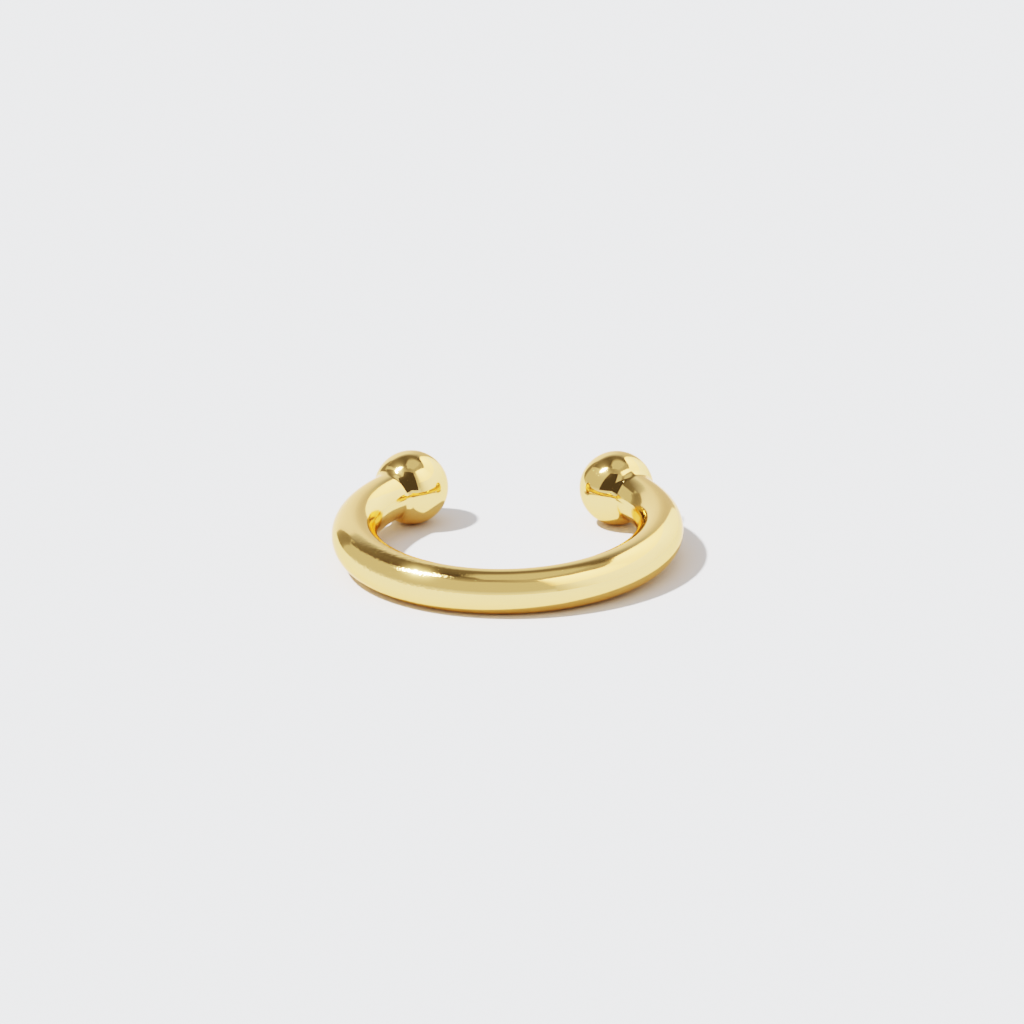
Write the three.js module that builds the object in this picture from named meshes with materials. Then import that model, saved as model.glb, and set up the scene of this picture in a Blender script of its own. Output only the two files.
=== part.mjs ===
// Ear cuff: an open ring of round wire whose two ends run into balls, cast in one piece.
// Millimetres. +X runs across the ring, +Y towards its opening, +Z up from the surface it lies on.

import * as THREE from 'three';

// Driving dimensions
const outerWidth = 12.0; // over the wire, at the ring's widest place
const frontThickness = 1.53; // wire diameter opposite the opening
const sideThickness = 1.6; // wire diameter at the widest place
const neckThickness = 1.6; // wire diameter where it comes to a ball
const ballDiameter = 2.55;
const ballGap = 4.5; // clear way between the balls
const filletRadius = 0.5; // hollow corner between wire and ball

// Facets
const sideCount = 32; // round the wire
const wireSteps = 45; // along each half of the wire
const filletSteps = 6;
const ballSteps = 14;

// Sizes that follow from these
const frontRadius = frontThickness / 2;
const neckRadius = neckThickness / 2;
const ballRadius = ballDiameter / 2;
const ringRadius = (outerWidth - sideThickness) / 2; // of the wire's centreline
const ballOffset = (ballGap + ballDiameter) / 2; // from the middle plane to a ball's centre

// The fillet's centre lies filletRadius off the wire and off the ball
const filletHeight = neckRadius + filletRadius;
const filletReach = Math.sqrt((ballRadius + filletRadius) ** 2 - filletHeight ** 2);

// The centreline is an arc as far as the ball's surface, then straight to the ball's centre
const endLength = filletReach * ballRadius / (ballRadius + filletRadius);
const endAngle = Math.PI - Math.asin(ballOffset / Math.hypot(ringRadius, endLength))
  - Math.atan(endLength / ringRadius);
const arcHalf = ringRadius * endAngle;
const ballAlong = arcHalf + endLength;
const wireHalf = ballAlong - filletReach;
const ballDepth = endLength * Math.sin(endAngle) - ringRadius * Math.cos(endAngle);

// The balls are thicker than the wire, so a cuff that lies flat leans forward by this angle
const restTilt = Math.asin((ballRadius - frontRadius) / (ringRadius + ballDepth));

// Thickness of the wire along one half, from the middle of the front
const wireSections = [
  { along: 0, thickness: frontThickness },
  { along: ringRadius * Math.PI / 2, thickness: sideThickness },
  { along: wireHalf, thickness: neckThickness },
];

// Wire radius at a distance along its centreline, eased from one section to the next
function wireRadius(along) {
  const index = wireSections.findIndex((section) => along <= section.along);
  const end = wireSections[Math.max(index, 1)];
  const start = wireSections[Math.max(index, 1) - 1];
  const ease = THREE.MathUtils.smoothstep(along, start.along, end.along);
  return THREE.MathUtils.lerp(start.thickness, end.thickness, ease) / 2;
}

// Outline of one half as turned straight: radius against distance from the middle of the front
function halfOutline() {
  const wireStep = wireHalf / (wireSteps + 0.5);
  const wire = [];
  for (let step = 0; step < wireSteps; step += 1) {
    const along = (step + 0.5) * wireStep;
    wire.push(new THREE.Vector2(wireRadius(along), along));
  }
  const filletTurn = Math.atan2(filletReach, filletHeight);
  const fillet = new THREE.EllipseCurve(
    filletHeight, wireHalf, filletRadius, filletRadius, Math.PI, Math.PI - filletTurn, true,
  );
  const ball = new THREE.EllipseCurve(
    0, ballAlong, ballRadius, ballRadius, -filletTurn, Math.PI / 2, false,
  );
  return [...wire, ...fillet.getPoints(filletSteps), ...ball.getPoints(ballSteps).slice(1)];
}

// Point of the centreline, with the wire's direction and the way out of the ring there
function centreline(along) {
  const side = Math.sign(along);
  const distance = Math.abs(along);
  const angle = side * Math.min(distance, arcHalf) / ringRadius;
  const past = side * Math.max(distance - arcHalf, 0);
  const forward = new THREE.Vector3(Math.cos(angle), Math.sin(angle), 0);
  const outward = new THREE.Vector3(Math.sin(angle), -Math.cos(angle), 0);
  const point = outward.clone().multiplyScalar(ringRadius).addScaledVector(forward, past);
  return { point, outward };
}

// The turned form is bent along the centreline, each section square to it
function bend(geometry) {
  const positions = geometry.attributes.position;
  const up = new THREE.Vector3(0, 0, 1);
  for (let index = 0; index < positions.count; index += 1) {
    const { point, outward } = centreline(positions.getY(index));
    point.addScaledVector(outward, positions.getX(index));
    point.addScaledVector(up, positions.getZ(index));
    positions.setXYZ(index, point.x, point.y, point.z);
  }
  geometry.computeVertexNormals();
  return geometry;
}

function makeCuff() {
  const right = halfOutline();
  const left = right.map((place) => new THREE.Vector2(place.x, -place.y)).reverse();
  const facetAngle = 2 * Math.PI / sideCount;
  // The sections are turned so that the lowest facet of the front is level at rest
  const turned = new THREE.LatheGeometry([...left, ...right], sideCount, facetAngle / 2 - restTilt);
  const gold = new THREE.MeshStandardMaterial({ color: 0xdcbf78, roughness: 0.14, metalness: 1 });
  const cuff = new THREE.Mesh(bend(turned), gold);
  cuff.name = 'cuff';
  cuff.rotation.x = restTilt;
  return cuff;
}

// The origin is on the surface, under the middle of the cuff's outline
function standOnOrigin(mesh) {
  const box = new THREE.Box3().setFromObject(mesh, true);
  const middle = box.getCenter(new THREE.Vector3());
  mesh.position.set(-middle.x, -middle.y, -box.min.z);
}

const earCuff = new THREE.Group();
const cuff = makeCuff();
standOnOrigin(cuff);
earCuff.add(cuff);

export default earCuff;
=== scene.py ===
import bmesh
import bpy
import math
from mathutils import Matrix, Vector


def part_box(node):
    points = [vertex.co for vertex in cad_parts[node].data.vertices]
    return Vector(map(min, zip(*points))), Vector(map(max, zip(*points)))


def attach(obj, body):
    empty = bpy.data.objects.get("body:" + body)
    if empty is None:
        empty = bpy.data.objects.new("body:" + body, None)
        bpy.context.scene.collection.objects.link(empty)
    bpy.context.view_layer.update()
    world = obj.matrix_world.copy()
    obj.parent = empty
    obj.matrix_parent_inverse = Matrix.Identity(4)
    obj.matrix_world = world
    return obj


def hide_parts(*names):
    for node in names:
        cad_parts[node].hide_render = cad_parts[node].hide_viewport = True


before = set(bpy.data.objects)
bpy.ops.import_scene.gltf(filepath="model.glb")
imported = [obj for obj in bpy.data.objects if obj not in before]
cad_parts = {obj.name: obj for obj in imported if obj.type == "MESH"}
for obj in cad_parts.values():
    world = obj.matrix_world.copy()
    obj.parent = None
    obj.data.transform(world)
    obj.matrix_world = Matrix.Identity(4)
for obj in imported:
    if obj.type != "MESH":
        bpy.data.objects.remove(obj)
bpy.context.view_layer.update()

mm = 0.001
imageSide = 1024


# Degrees to a unit vector: azimuth 0 is straight in front of the cuff, 90 on its right
def direction(azimuth, elevation):
    turn = math.radians(azimuth)
    lift = math.radians(elevation)
    return Vector((math.sin(turn) * math.cos(lift), -math.cos(turn) * math.cos(lift), math.sin(lift)))


def makeObject(name, bm):
    mesh = bpy.data.meshes.new(name)
    bm.to_mesh(mesh)
    bm.free()
    made = bpy.data.objects.new(name, mesh)
    bpy.context.scene.collection.objects.link(made)
    return made


# The camera first: where it stands and how it frames the cuff
cameraView = {
    "azimuth": 3.6,                   # degrees, as elevation and roll
    "elevation": 19.5,
    "roll": -1.0,
    "distance": 562 * mm,
    "pixelsPerMetre": 29360,
    "originPixel": (507.3, 564.7),    # where the frame's origin falls in the picture
    "sensor": 36.0,                   # mm wide
    "nearest": 10 * mm,
    "farthest": 20.0,
}


def placeCamera(view):
    focalPixels = view["pixelsPerMetre"] * view["distance"]
    back = direction(view["azimuth"], view["elevation"])
    right = Vector((0, 0, 1)).cross(back).normalized()
    up = back.cross(right)
    roll = Matrix.Rotation(math.radians(view["roll"]), 3, back)
    right, up = roll @ right, roll @ up
    half = imageSide / 2
    sideways = (view["originPixel"][0] - half) / focalPixels
    upwards = (half - view["originPixel"][1]) / focalPixels
    place = (back - right * sideways - up * upwards) * view["distance"]
    data = bpy.data.cameras.new("camera")
    data.sensor_width = view["sensor"]
    data.lens = focalPixels / imageSide * view["sensor"]
    data.clip_start = view["nearest"]
    data.clip_end = view["farthest"]
    camera = bpy.data.objects.new("camera", data)
    turn = Matrix((right, up, back)).transposed()
    camera.matrix_world = Matrix.Translation(place) @ turn.to_4x4()
    bpy.context.scene.collection.objects.link(camera)
    bpy.context.scene.camera = camera


placeCamera(cameraView)
print("camera placed")


# The cuff: turned straight as on a lathe, then bent into its ring
cuffForm = {
    "frontThickness": 1.53 * mm,      # opposite the opening
    "sideThickness": 1.6 * mm,
    "neckThickness": 1.6 * mm,        # where the wire comes to a ball
    "ballDiameter": 2.55 * mm,
    "ballGap": 4.5 * mm,
    "filletRadius": 0.5 * mm,
    "sides": 96,
    "wireCuts": 180,                  # along each half
    "filletSteps": 24,
    "ballSteps": 40,
    "profileMerge": 0.0001 * mm,
    "seamMerge": 0.001 * mm,
}


# The fillet touches wire and ball, and the cuff leans on its balls and the front of the ring
def cuffSizes(form):
    low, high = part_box("cuff")
    sizes = {name: form[name] / 2 for name in ("frontThickness", "sideThickness", "neckThickness")}
    ball = form["ballDiameter"] / 2
    fillet = form["filletRadius"]
    ring = (high.x - low.x) / 2 - sizes["sideThickness"]
    height = sizes["neckThickness"] + fillet
    reach = math.sqrt((ball + fillet) ** 2 - height ** 2)
    end = reach * ball / (ball + fillet)
    offset = form["ballGap"] / 2 + ball
    angle = math.pi - math.asin(offset / math.hypot(ring, end)) - math.atan(end / ring)
    depth = end * math.sin(angle) - ring * math.cos(angle)
    return {
        "front": sizes["frontThickness"],
        "side": sizes["sideThickness"],
        "neck": sizes["neckThickness"],
        "ball": ball,
        "ring": ring,
        "filletHeight": height,
        "filletTurn": math.atan2(reach, height),
        "arcHalf": ring * angle,
        "wireHalf": ring * angle + end - reach,
        "ballAlong": ring * angle + end,
        "ballOffset": offset,
        "tilt": math.asin((ball - sizes["frontThickness"]) / (ring + depth)),
    }


def easeBetween(first, second, share):
    share = min(max(share, 0), 1)
    return first + (second - first) * (share * share * (3 - 2 * share))


def wireRadius(sizes, along):
    widest = sizes["ring"] * math.pi / 2
    if along < widest:
        return easeBetween(sizes["front"], sizes["side"], along / widest)
    return easeBetween(sizes["side"], sizes["neck"], (along - widest) / (sizes["wireHalf"] - widest))


def bentPlace(sizes, place):
    side = math.copysign(1, place.z)
    along = abs(place.z)
    angle = side * min(along, sizes["arcHalf"]) / sizes["ring"]
    past = side * max(along - sizes["arcHalf"], 0)
    forward = Vector((math.cos(angle), math.sin(angle), 0))
    outward = Vector((math.sin(angle), -math.cos(angle), 0))
    return outward * (sizes["ring"] + place.y) + forward * past + Vector((0, 0, place.x))


def ballCentre(sizes, side):
    low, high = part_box("cuff")
    return Vector((side * sizes["ballOffset"], high.y - sizes["ball"], sizes["ball"]))


# Half of the outline, from the front of the ring to the far side of a ball, and its mirror image
def drawProfile(bm, form, sizes):
    ends = [bm.verts.new((sizes["front"], 0, 0)), bm.verts.new((sizes["neck"], 0, sizes["wireHalf"]))]
    bm.edges.new(ends)
    bmesh.ops.subdivide_edges(bm, edges=bm.edges[:], cuts=form["wireCuts"])
    for vert in bm.verts:
        vert.co.x = wireRadius(sizes, vert.co.z)
    neck = max(bm.verts, key=lambda vert: vert.co.z)
    fillet = bmesh.ops.spin(
        bm, geom=[neck], cent=(sizes["filletHeight"], 0, sizes["wireHalf"]), axis=(0, 1, 0),
        angle=sizes["filletTurn"], steps=form["filletSteps"])
    last = [item for item in fillet["geom_last"] if isinstance(item, bmesh.types.BMVert)]
    bmesh.ops.spin(
        bm, geom=last, cent=(0, 0, sizes["ballAlong"]), axis=(0, 1, 0),
        angle=-(math.pi / 2 + sizes["filletTurn"]), steps=form["ballSteps"])
    bmesh.ops.mirror(bm, geom=bm.verts[:] + bm.edges[:], axis="Z", merge_dist=form["profileMerge"])
    bmesh.ops.remove_doubles(bm, verts=bm.verts[:], dist=form["profileMerge"])


def turnProfile(bm, form):
    bmesh.ops.spin(
        bm, geom=bm.verts[:] + bm.edges[:], cent=(0, 0, 0), axis=(0, 0, 1),
        angle=2 * math.pi, steps=form["sides"], use_merge=True)
    bmesh.ops.remove_doubles(bm, verts=bm.verts[:], dist=form["seamMerge"])


def makeCuff(form):
    sizes = cuffSizes(form)
    bm = bmesh.new()
    drawProfile(bm, form, sizes)
    turnProfile(bm, form)
    for vert in bm.verts:
        vert.co = bentPlace(sizes, vert.co)
    lean = Matrix.Rotation(sizes["tilt"], 3, "X")
    bmesh.ops.rotate(bm, verts=bm.verts[:], cent=(0, 0, 0), matrix=lean)
    ys = [vert.co.y for vert in bm.verts]
    zs = [vert.co.z for vert in bm.verts]
    bmesh.ops.translate(bm, verts=bm.verts[:], vec=(0, -(min(ys) + max(ys)) / 2, -min(zs)))
    bmesh.ops.recalc_face_normals(bm, faces=bm.faces[:])
    made = makeObject("polishedCuff", bm)
    made.data.shade_smooth()
    return made


# Polished pale gold plate. Tumbling left it smooth, but for a slight wave and a patch of fine
# grain on the front left of the wire
goldFinish = {
    "colour": (0.95, 0.62, 0.237),
    "edgeTint": (1.0, 0.87, 0.66),    # where the plate is seen at a flat angle
    "roughness": 0.09,
    "grainScale": 9.5,                # per mm
    "grainDepth": 0.008 * mm,
    "grainOutside": 0.05,             # share of the grain that is left outside the patch
    "patchCentre": (-3.3 * mm, -3.9 * mm, 1.4 * mm),
    "patchReach": 2.9 * mm,
    "patchFade": 0.6,                 # share of the reach over which the grain fades out
    "waveScale": 1.1,                 # per mm
    "waveDepth": 0.004 * mm,
    "noiseDetail": 1,
}


def addNoise(nodes, links, place, scale, detail):
    noise = nodes.new("ShaderNodeTexNoise")
    noise.inputs["Scale"].default_value = scale
    noise.inputs["Detail"].default_value = detail
    links.new(place.outputs["Vector"], noise.inputs["Vector"])
    return noise


def addBump(nodes, links, height, depth):
    bump = nodes.new("ShaderNodeBump")
    bump.inputs["Distance"].default_value = depth
    links.new(height.outputs["Fac"], bump.inputs["Height"])
    return bump


def addPatch(nodes, links, coords, finish):
    toPatch = nodes.new("ShaderNodeMapping")
    share = 1 / finish["patchReach"]
    toPatch.inputs["Location"].default_value = [-value * share for value in finish["patchCentre"]]
    toPatch.inputs["Scale"].default_value = (share, share, share)
    links.new(coords.outputs["Object"], toPatch.inputs["Vector"])
    patch = nodes.new("ShaderNodeTexGradient")
    patch.gradient_type = "SPHERICAL"
    links.new(toPatch.outputs["Vector"], patch.inputs["Vector"])
    strength = nodes.new("ShaderNodeMapRange")
    strength.interpolation_type = "SMOOTHSTEP"
    strength.inputs["From Max"].default_value = finish["patchFade"]
    strength.inputs["To Min"].default_value = finish["grainOutside"]
    links.new(patch.outputs["Fac"], strength.inputs["Value"])
    return strength


def makeGold(finish):
    gold = bpy.data.materials.new("paleGoldPlate")
    gold.use_nodes = True
    nodes, links = gold.node_tree.nodes, gold.node_tree.links
    shader = nodes["Principled BSDF"]
    shader.inputs["Base Color"].default_value = (*finish["colour"], 1)
    shader.inputs["Metallic"].default_value = 1
    shader.inputs["Specular Tint"].default_value = (*finish["edgeTint"], 1)
    shader.inputs["Roughness"].default_value = finish["roughness"]
    coords = nodes.new("ShaderNodeTexCoord")
    toMillimetres = nodes.new("ShaderNodeMapping")
    toMillimetres.inputs["Scale"].default_value = (1 / mm, 1 / mm, 1 / mm)
    links.new(coords.outputs["Object"], toMillimetres.inputs["Vector"])
    grain = addNoise(nodes, links, toMillimetres, finish["grainScale"], finish["noiseDetail"])
    grainBump = addBump(nodes, links, grain, finish["grainDepth"])
    strength = addPatch(nodes, links, coords, finish)
    links.new(strength.outputs["Result"], grainBump.inputs["Strength"])
    wave = addNoise(nodes, links, toMillimetres, finish["waveScale"], finish["noiseDetail"])
    waveBump = addBump(nodes, links, wave, finish["waveDepth"])
    links.new(grainBump.outputs["Normal"], waveBump.inputs["Normal"])
    links.new(waveBump.outputs["Normal"], shader.inputs["Normal"])
    return gold


cuff = makeCuff(cuffForm)
cuff.data.materials.append(makeGold(goldFinish))
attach(cuff, "root")
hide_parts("cuff")
print("cuff turned and bent,", len(cuff.data.polygons), "faces")


# Pale matt floor
floorFinish = {"side": 6.0, "colour": (0.8, 0.8, 0.815), "roughness": 0.6, "shine": 0}


def makeFloor(finish):
    bm = bmesh.new()
    bmesh.ops.create_grid(bm, x_segments=1, y_segments=1, size=finish["side"] / 2)
    floor = makeObject("floor", bm)
    pale = bpy.data.materials.new("paleFloor")
    pale.use_nodes = True
    shader = pale.node_tree.nodes["Principled BSDF"]
    shader.inputs["Base Color"].default_value = (*finish["colour"], 1)
    shader.inputs["Roughness"].default_value = finish["roughness"]
    shader.inputs["Specular IOR Level"].default_value = finish["shine"]
    floor.data.materials.append(pale)


makeFloor(floorFinish)
print("floor laid")


# Studio light: one soft key from the left, a fill that grows towards the zenith, and cards that
# only the metal mirrors. Angles are in degrees, distances in metres
floorLevel = 1.77                     # radiance of the lit floor, which levels are shares of
keyLight = {"azimuth": -76, "elevation": 58, "strength": 5.23, "spread": 4.0}
fillLight = {"horizon": 0.16, "zenith": 0.94, "colour": (0.95, 1.0, 1.06)}

# What the metal mirrors of the key: a disc that fades from its middle to its edge
keyGlow = {
    "azimuth": -86,
    "elevation": 57,
    "level": 240.0,
    "edge": 13,
    "falloff": 4.5,
    "widen": 0.5,
    "heighten": 1.3,
    "distance": 0.3,
    "sides": 48,
}

# Each card is a strip round the cuff, and hangs nearer than those above it in the list. A row
# gives azimuth, low and high elevation, level at the low edge and level at the high edge
studioCards = {
    "farthest": 1.0,
    "layerStep": 0.02,
    "azimuthStep": 5,
    "heightSteps": 8,
    "roomLevel": 0.40,                # where no card hangs
    "tints": {
        "lowFrontWall": (0.97, 1.0, 1.08),
        "rightFoot": (1.0, 1.0, 1.04),
        "backRightFoot": (1.0, 1.0, 1.04),
        "rightSheet": (1.28, 1.04, 0.90),
        "backRightSheet": (1.25, 1.03, 0.90),
        "backWall": (1.05, 1.0, 1.12),
        "backWindow": (1.05, 1.0, 1.12),
        "archFootRight": (0.95, 1.0, 1.15),
        "archFootLeft": (0.95, 1.0, 1.15),
    },
    "strips": {
        "lowFrontWall": [
            (-115, 0, 5, 0.60, 0.41), (-90, 0, 7, 0.62, 0.41), (-60, 0, 10, 0.70, 0.41),
            (-40, 0, 14, 0.70, 0.41), (-20, 0, 16, 0.70, 0.41), (40, 0, 16, 0.70, 0.41),
        ],
        "frontBeam": [
            (-100, 72, 80, 0.06, 0.12), (-72, 69, 80, 0.12, 0.11), (-54, 60, 78, 0.26, 0.11),
            (-40, 60, 77, 0.28, 0.15), (-20, 65, 80, 0.20, 0.18), (-8, 67, 81, 0.20, 0.24),
            (10, 63, 79, 0.24, 0.26), (30, 58, 76, 0.28, 0.30), (60, 60, 76, 0.25, 0.30),
            (85, 60, 75, 0.25, 0.30), (100, 54, 72, 0.22, 0.30), (128, 54, 66, 0.20, 0.30),
            (140, 54, 65, 0.14, 0.30),
        ],
        "archTopRight": [
            (140, 61, 66, 0.15, 0.34), (165, 59, 66, 0.12, 0.35), (180, 56, 69, 0.12, 0.36),
        ],
        "archTopLeft": [
            (-180, 56, 69, 0.12, 0.36), (-165, 61, 69, 0.12, 0.34), (-150, 68, 74, 0.10, 0.33),
            (-135, 72, 77, 0.09, 0.31), (-100, 75, 79, 0.10, 0.28),
        ],
        "backRightBeam": [
            (134, 54, 62, 0.16, 0.20), (141, 54, 62, 0.10, 0.12), (150, 53, 61, 0.08, 0.09),
            (158, 50, 60, 0.08, 0.10), (165, 48, 59, 0.09, 0.12), (172, 46, 58, 0.10, 0.12),
            (180, 45, 57, 0.11, 0.12),
        ],
        "backLeftArch": [
            (-180, 45, 57, 0.11, 0.12), (-170, 43, 61, 0.10, 0.12), (-160, 42, 66, 0.09, 0.09),
            (-150, 41, 70, 0.09, 0.08), (-140, 33, 73, 0.13, 0.07), (-130, 23, 75, 0.12, 0.06),
            (-119, 37, 75.5, 0.10, 0.05), (-110, 43, 76, 0.07, 0.05), (-101, 48, 76, 0.08, 0.05),
            (-88, 66, 76, 0.08, 0.06),
        ],
        "archFootRight": [
            (158, 46, 54, 0.20, 0.09), (165, 40, 50, 0.34, 0.12), (172, 33, 47, 0.36, 0.13),
            (180, 32, 46, 0.50, 0.12),
        ],
        "archFootLeft": [
            (-180, 31, 46, 0.52, 0.12), (-170, 31, 44, 0.52, 0.12), (-160, 31, 43, 0.45, 0.12),
            (-150, 30, 42, 0.36, 0.12), (-144, 27, 39, 0.34, 0.13), (-139, 24, 36, 0.15, 0.13),
        ],
        "leftPost": [
            (-145, 0, 29, 0.34, 0.18), (-139, 0, 29, 0.17, 0.14), (-131, 0, 24, 0.17, 0.15),
            (-127, 0, 21, 0.24, 0.22),
        ],
        "backWall": [
            (162, 0, 33, 0.42, 0.36), (172, 0, 33, 0.44, 0.39), (180, 0, 32, 0.50, 0.50),
        ],
        "backWindow": [
            (-180, 0, 31, 0.52, 0.50), (-175, 0, 31, 0.70, 0.60), (-168, 0, 32, 0.86, 0.66),
            (-156, 0, 32, 0.92, 0.66), (-150, 0, 31, 0.90, 0.66), (-144, 0, 28, 0.84, 0.56),
        ],
        "rightFoot": [
            (34, 0, 30, 0.44, 0.50), (50, 0, 30, 0.74, 0.92), (64, 0, 30, 0.92, 0.97),
            (99, 0, 30, 0.96, 1.04),
        ],
        "rightSheet": [
            (32, 30, 65, 0.50, 0.60), (40, 30, 67, 0.94, 1.40), (60, 30, 67, 1.10, 1.50),
            (74, 30, 64.5, 1.10, 1.50), (86, 30, 63, 1.10, 1.42), (98, 30, 56.5, 1.08, 1.25),
        ],
        "backRightFoot": [
            (98, 0, 30, 0.96, 1.04), (120, 0, 30, 0.92, 1.06), (145, 0, 30, 1.00, 1.20),
            (163, 0, 30, 1.05, 1.12),
        ],
        "backRightSheet": [
            (98, 30, 56.5, 1.05, 1.12), (118, 30, 57, 1.10, 1.22), (135, 30, 57, 1.16, 1.40),
            (150, 30, 54, 1.20, 1.45), (158, 30, 50, 1.20, 1.40), (164, 30, 41, 1.10, 1.15),
        ],
    },
}

# Two small dark cards that hang close over the balls and face them. Their corners, left and
# right, are the azimuths and elevations in which the ball mirrors them to the camera
ballFlags = {
    "level": 0.05,
    "reach": 0.5 * mm,
    "flags": [
        {"name": "leftFlag", "side": -1, "top": [(-42, 64), (19, 64)], "bottom": [(-24, 8), (27, 8)]},
        {"name": "rightFlag", "side": 1, "top": [(-35, 62), (14, 62)], "bottom": [(-54, 6), (-6, 8)]},
    ],
}


def glowMaterial(name, level):
    glow = bpy.data.materials.new(name)
    glow.use_nodes = True
    nodes = glow.node_tree.nodes
    nodes.clear()
    emission = nodes.new("ShaderNodeEmission")
    emission.inputs["Strength"].default_value = level * floorLevel
    output = nodes.new("ShaderNodeOutputMaterial")
    glow.node_tree.links.new(emission.outputs["Emission"], output.inputs["Surface"])
    glow.cycles.emission_sampling = "NONE"
    return glow


# Shows the glow by as much as amount says, and is clear for the rest
def fadeGlow(material, amount):
    nodes, links = material.node_tree.nodes, material.node_tree.links
    clear = nodes.new("ShaderNodeBsdfTransparent")
    mix = nodes.new("ShaderNodeMixShader")
    links.new(amount, mix.inputs["Fac"])
    links.new(clear.outputs["BSDF"], mix.inputs[1])
    links.new(nodes["Emission"].outputs["Emission"], mix.inputs[2])
    links.new(mix.outputs["Shader"], nodes["Material Output"].inputs["Surface"])


def hangCard(name, bm, material):
    card = makeObject(name, bm)
    card.data.materials.append(material)
    card.visible_camera = False
    card.visible_diffuse = False
    card.visible_shadow = False
    card.visible_transmission = False
    return card


def between(rows, azimuth):
    for first, second in zip(rows, rows[1:]):
        if azimuth <= second[0] or second is rows[-1]:
            share = (azimuth - first[0]) / (second[0] - first[0])
            return [low + (high - low) * share for low, high in zip(first[1:], second[1:])]


def stripMaterial(name, tint):
    material = glowMaterial(name, 1)
    shade = material.node_tree.nodes.new("ShaderNodeAttribute")
    shade.attribute_name = "glow"
    emission = material.node_tree.nodes["Emission"]
    emission.inputs["Color"].default_value = (*tint, 1)
    material.node_tree.links.new(shade.outputs["Fac"], emission.inputs["Strength"])
    return material


def hangStrips(cards):
    for layer, (name, rows) in enumerate(cards["strips"].items()):
        start, stop = rows[0][0], rows[-1][0]
        distance = cards["farthest"] - layer * cards["layerStep"]
        steps = math.ceil((stop - start) / cards["azimuthStep"])
        bm = bmesh.new()
        bmesh.ops.create_grid(bm, x_segments=steps, y_segments=cards["heightSteps"], size=1)
        shades = bm.verts.layers.float.new("glow")
        for vert in bm.verts:
            azimuth = start + (stop - start) * (vert.co.x + 1) / 2
            low, high, lowLevel, highLevel = between(rows, azimuth)
            share = (vert.co.y + 1) / 2
            vert[shades] = (lowLevel + (highLevel - lowLevel) * share) * floorLevel
            vert.co = direction(azimuth, low + (high - low) * share) * distance
        hangCard(name, bm, stripMaterial(name, cards["tints"].get(name, (1, 1, 1))))


# A flag's face looks at the ball, and its back is clear
def flagMaterial(name, level):
    material = glowMaterial(name, level)
    nodes, links = material.node_tree.nodes, material.node_tree.links
    side = nodes.new("ShaderNodeNewGeometry")
    front = nodes.new("ShaderNodeMath")
    front.operation = "SUBTRACT"
    front.inputs[0].default_value = 1
    links.new(side.outputs["Backfacing"], front.inputs[1])
    fadeGlow(material, front.outputs["Value"])
    return material


def hangFlags(table, sizes):
    toCamera = direction(cameraView["azimuth"], cameraView["elevation"])
    for flag in table["flags"]:
        centre = ballCentre(sizes, flag["side"])
        bm = bmesh.new()
        bmesh.ops.create_grid(bm, x_segments=1, y_segments=1, size=1)
        for vert in bm.verts:
            left, right = flag["top" if vert.co.y > 0 else "bottom"]
            outwards = direction(*(left if vert.co.x < 0 else right))
            facing = (outwards + toCamera).normalized()
            vert.co = centre + facing * sizes["ball"] + outwards * table["reach"]
        bmesh.ops.recalc_face_normals(bm, faces=bm.faces[:])
        for face in bm.faces:
            if face.normal.dot(face.calc_center_median() - centre) > 0:
                face.normal_flip()
        hangCard(flag["name"], bm, flagMaterial(flag["name"], table["level"]))


def hangGlow(glow):
    bm = bmesh.new()
    reach = glow["distance"] * math.tan(math.radians(glow["edge"]))
    bmesh.ops.create_circle(bm, cap_ends=True, segments=glow["sides"], radius=reach)
    material = glowMaterial("keyGlow", glow["level"])
    nodes, links = material.node_tree.nodes, material.node_tree.links
    coords = nodes.new("ShaderNodeTexCoord")
    length = nodes.new("ShaderNodeVectorMath")
    length.operation = "LENGTH"
    nearness = nodes.new("ShaderNodeMapRange")
    nearness.inputs["From Min"].default_value = reach
    nearness.inputs["From Max"].default_value = 0
    fade = nodes.new("ShaderNodeMath")
    fade.operation = "POWER"
    fade.inputs[1].default_value = glow["falloff"]
    links.new(coords.outputs["Object"], length.inputs[0])
    links.new(length.outputs["Value"], nearness.inputs["Value"])
    links.new(nearness.outputs["Result"], fade.inputs[0])
    fadeGlow(material, fade.outputs["Value"])
    card = hangCard("keyGlow", bm, material)
    towards = direction(glow["azimuth"], glow["elevation"])
    card.location = towards * glow["distance"]
    card.scale = (glow["widen"], glow["heighten"], 1)
    card.rotation_euler = towards.to_track_quat("Z", "Y").to_euler()


def placeKey(light):
    key = bpy.data.lights.new("key", "SUN")
    key.energy = light["strength"]
    key.angle = math.radians(light["spread"])
    lamp = bpy.data.objects.new("key", key)
    towards = direction(light["azimuth"], light["elevation"])
    lamp.rotation_euler = towards.to_track_quat("Z", "Y").to_euler()
    lamp.visible_glossy = False       # the metal mirrors its glow instead
    bpy.context.scene.collection.objects.link(lamp)


def addBackground(nodes, name, colour, level):
    shade = nodes.new("ShaderNodeBackground")
    shade.name = name
    shade.inputs["Color"].default_value = (*colour, 1)
    shade.inputs["Strength"].default_value = level
    return shade


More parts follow.
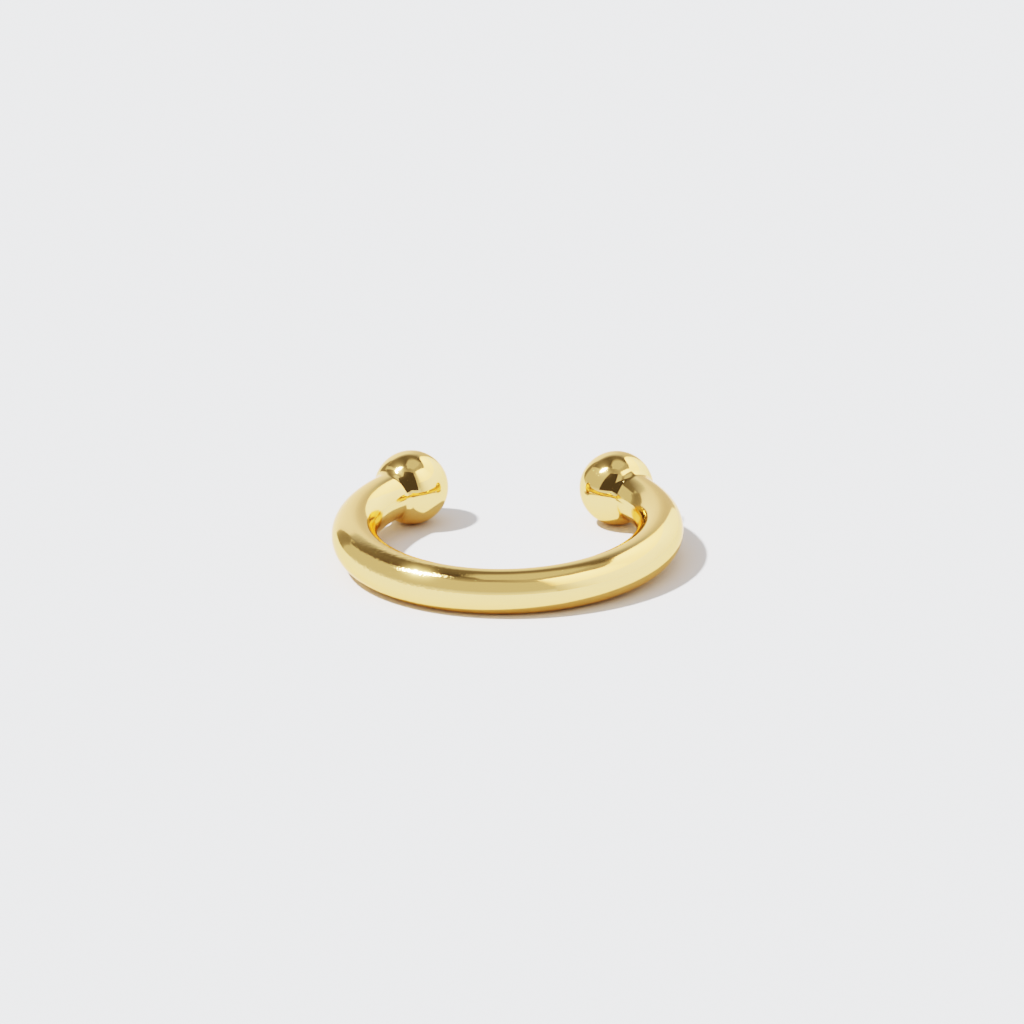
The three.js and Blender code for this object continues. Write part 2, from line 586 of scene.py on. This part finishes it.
# The world lights with the fill, shows the metal a plain room, and the camera a bright one
def makeWorld(fill):
    world = bpy.data.worlds.new("studio")
    bpy.context.scene.world = world
    world.use_nodes = True
    nodes, links = world.node_tree.nodes, world.node_tree.links
    nodes.clear()
    sky = addBackground(nodes, "fill", fill["colour"], fill["zenith"])
    mirrored = addBackground(nodes, "mirror", (1, 1, 1), studioCards["roomLevel"] * floorLevel)
    room = addBackground(nodes, "room", (1, 1, 1), floorLevel)
    coords = nodes.new("ShaderNodeTexCoord")
    upward = nodes.new("ShaderNodeSeparateXYZ")
    links.new(coords.outputs["Generated"], upward.inputs["Vector"])
    brighten = nodes.new("ShaderNodeMapRange")
    brighten.inputs["To Min"].default_value = fill["horizon"]
    brighten.inputs["To Max"].default_value = fill["zenith"]
    links.new(upward.outputs["Z"], brighten.inputs["Value"])
    links.new(brighten.outputs["Result"], sky.inputs["Strength"])
    path = nodes.new("ShaderNodeLightPath")
    pick = nodes.new("ShaderNodeMixShader")
    links.new(path.outputs["Is Glossy Ray"], pick.inputs["Fac"])
    links.new(sky.outputs["Background"], pick.inputs[1])
    links.new(mirrored.outputs["Background"], pick.inputs[2])
    show = nodes.new("ShaderNodeMixShader")
    links.new(path.outputs["Is Camera Ray"], show.inputs["Fac"])
    links.new(pick.outputs["Shader"], show.inputs[1])
    links.new(room.outputs["Background"], show.inputs[2])
    output = nodes.new("ShaderNodeOutputWorld")
    links.new(show.outputs["Shader"], output.inputs["Surface"])


makeWorld(fillLight)
placeKey(keyLight)
hangStrips(studioCards)
hangGlow(keyGlow)
hangFlags(ballFlags, cuffSizes(cuffForm))
print("studio lit with", len(studioCards["strips"]), "cards")


# A soft bloom round the highlights, as a lens gives, and the picture's tone
bloom = {"threshold": 6.0, "smoothness": 0.3, "strength": 1.0, "size": 0.012}
tone = {"transform": "Filmic", "look": "High Contrast"}


def addBloom(table):
    scene = bpy.context.scene
    scene.use_nodes = True
    nodes, links = scene.node_tree.nodes, scene.node_tree.links
    nodes.clear()
    layers = nodes.new("CompositorNodeRLayers")
    glare = nodes.new("CompositorNodeGlare")
    glare.glare_type = "BLOOM"
    glare.quality = "HIGH"
    for name, value in table.items():
        glare.inputs[name.capitalize()].default_value = value
    output = nodes.new("CompositorNodeComposite")
    links.new(layers.outputs["Image"], glare.inputs["Image"])
    links.new(glare.outputs["Image"], output.inputs["Image"])


addBloom(bloom)
bpy.context.scene.view_settings.view_transform = tone["transform"]
bpy.context.scene.view_settings.look = tone["look"]
print("bloom and tone set")
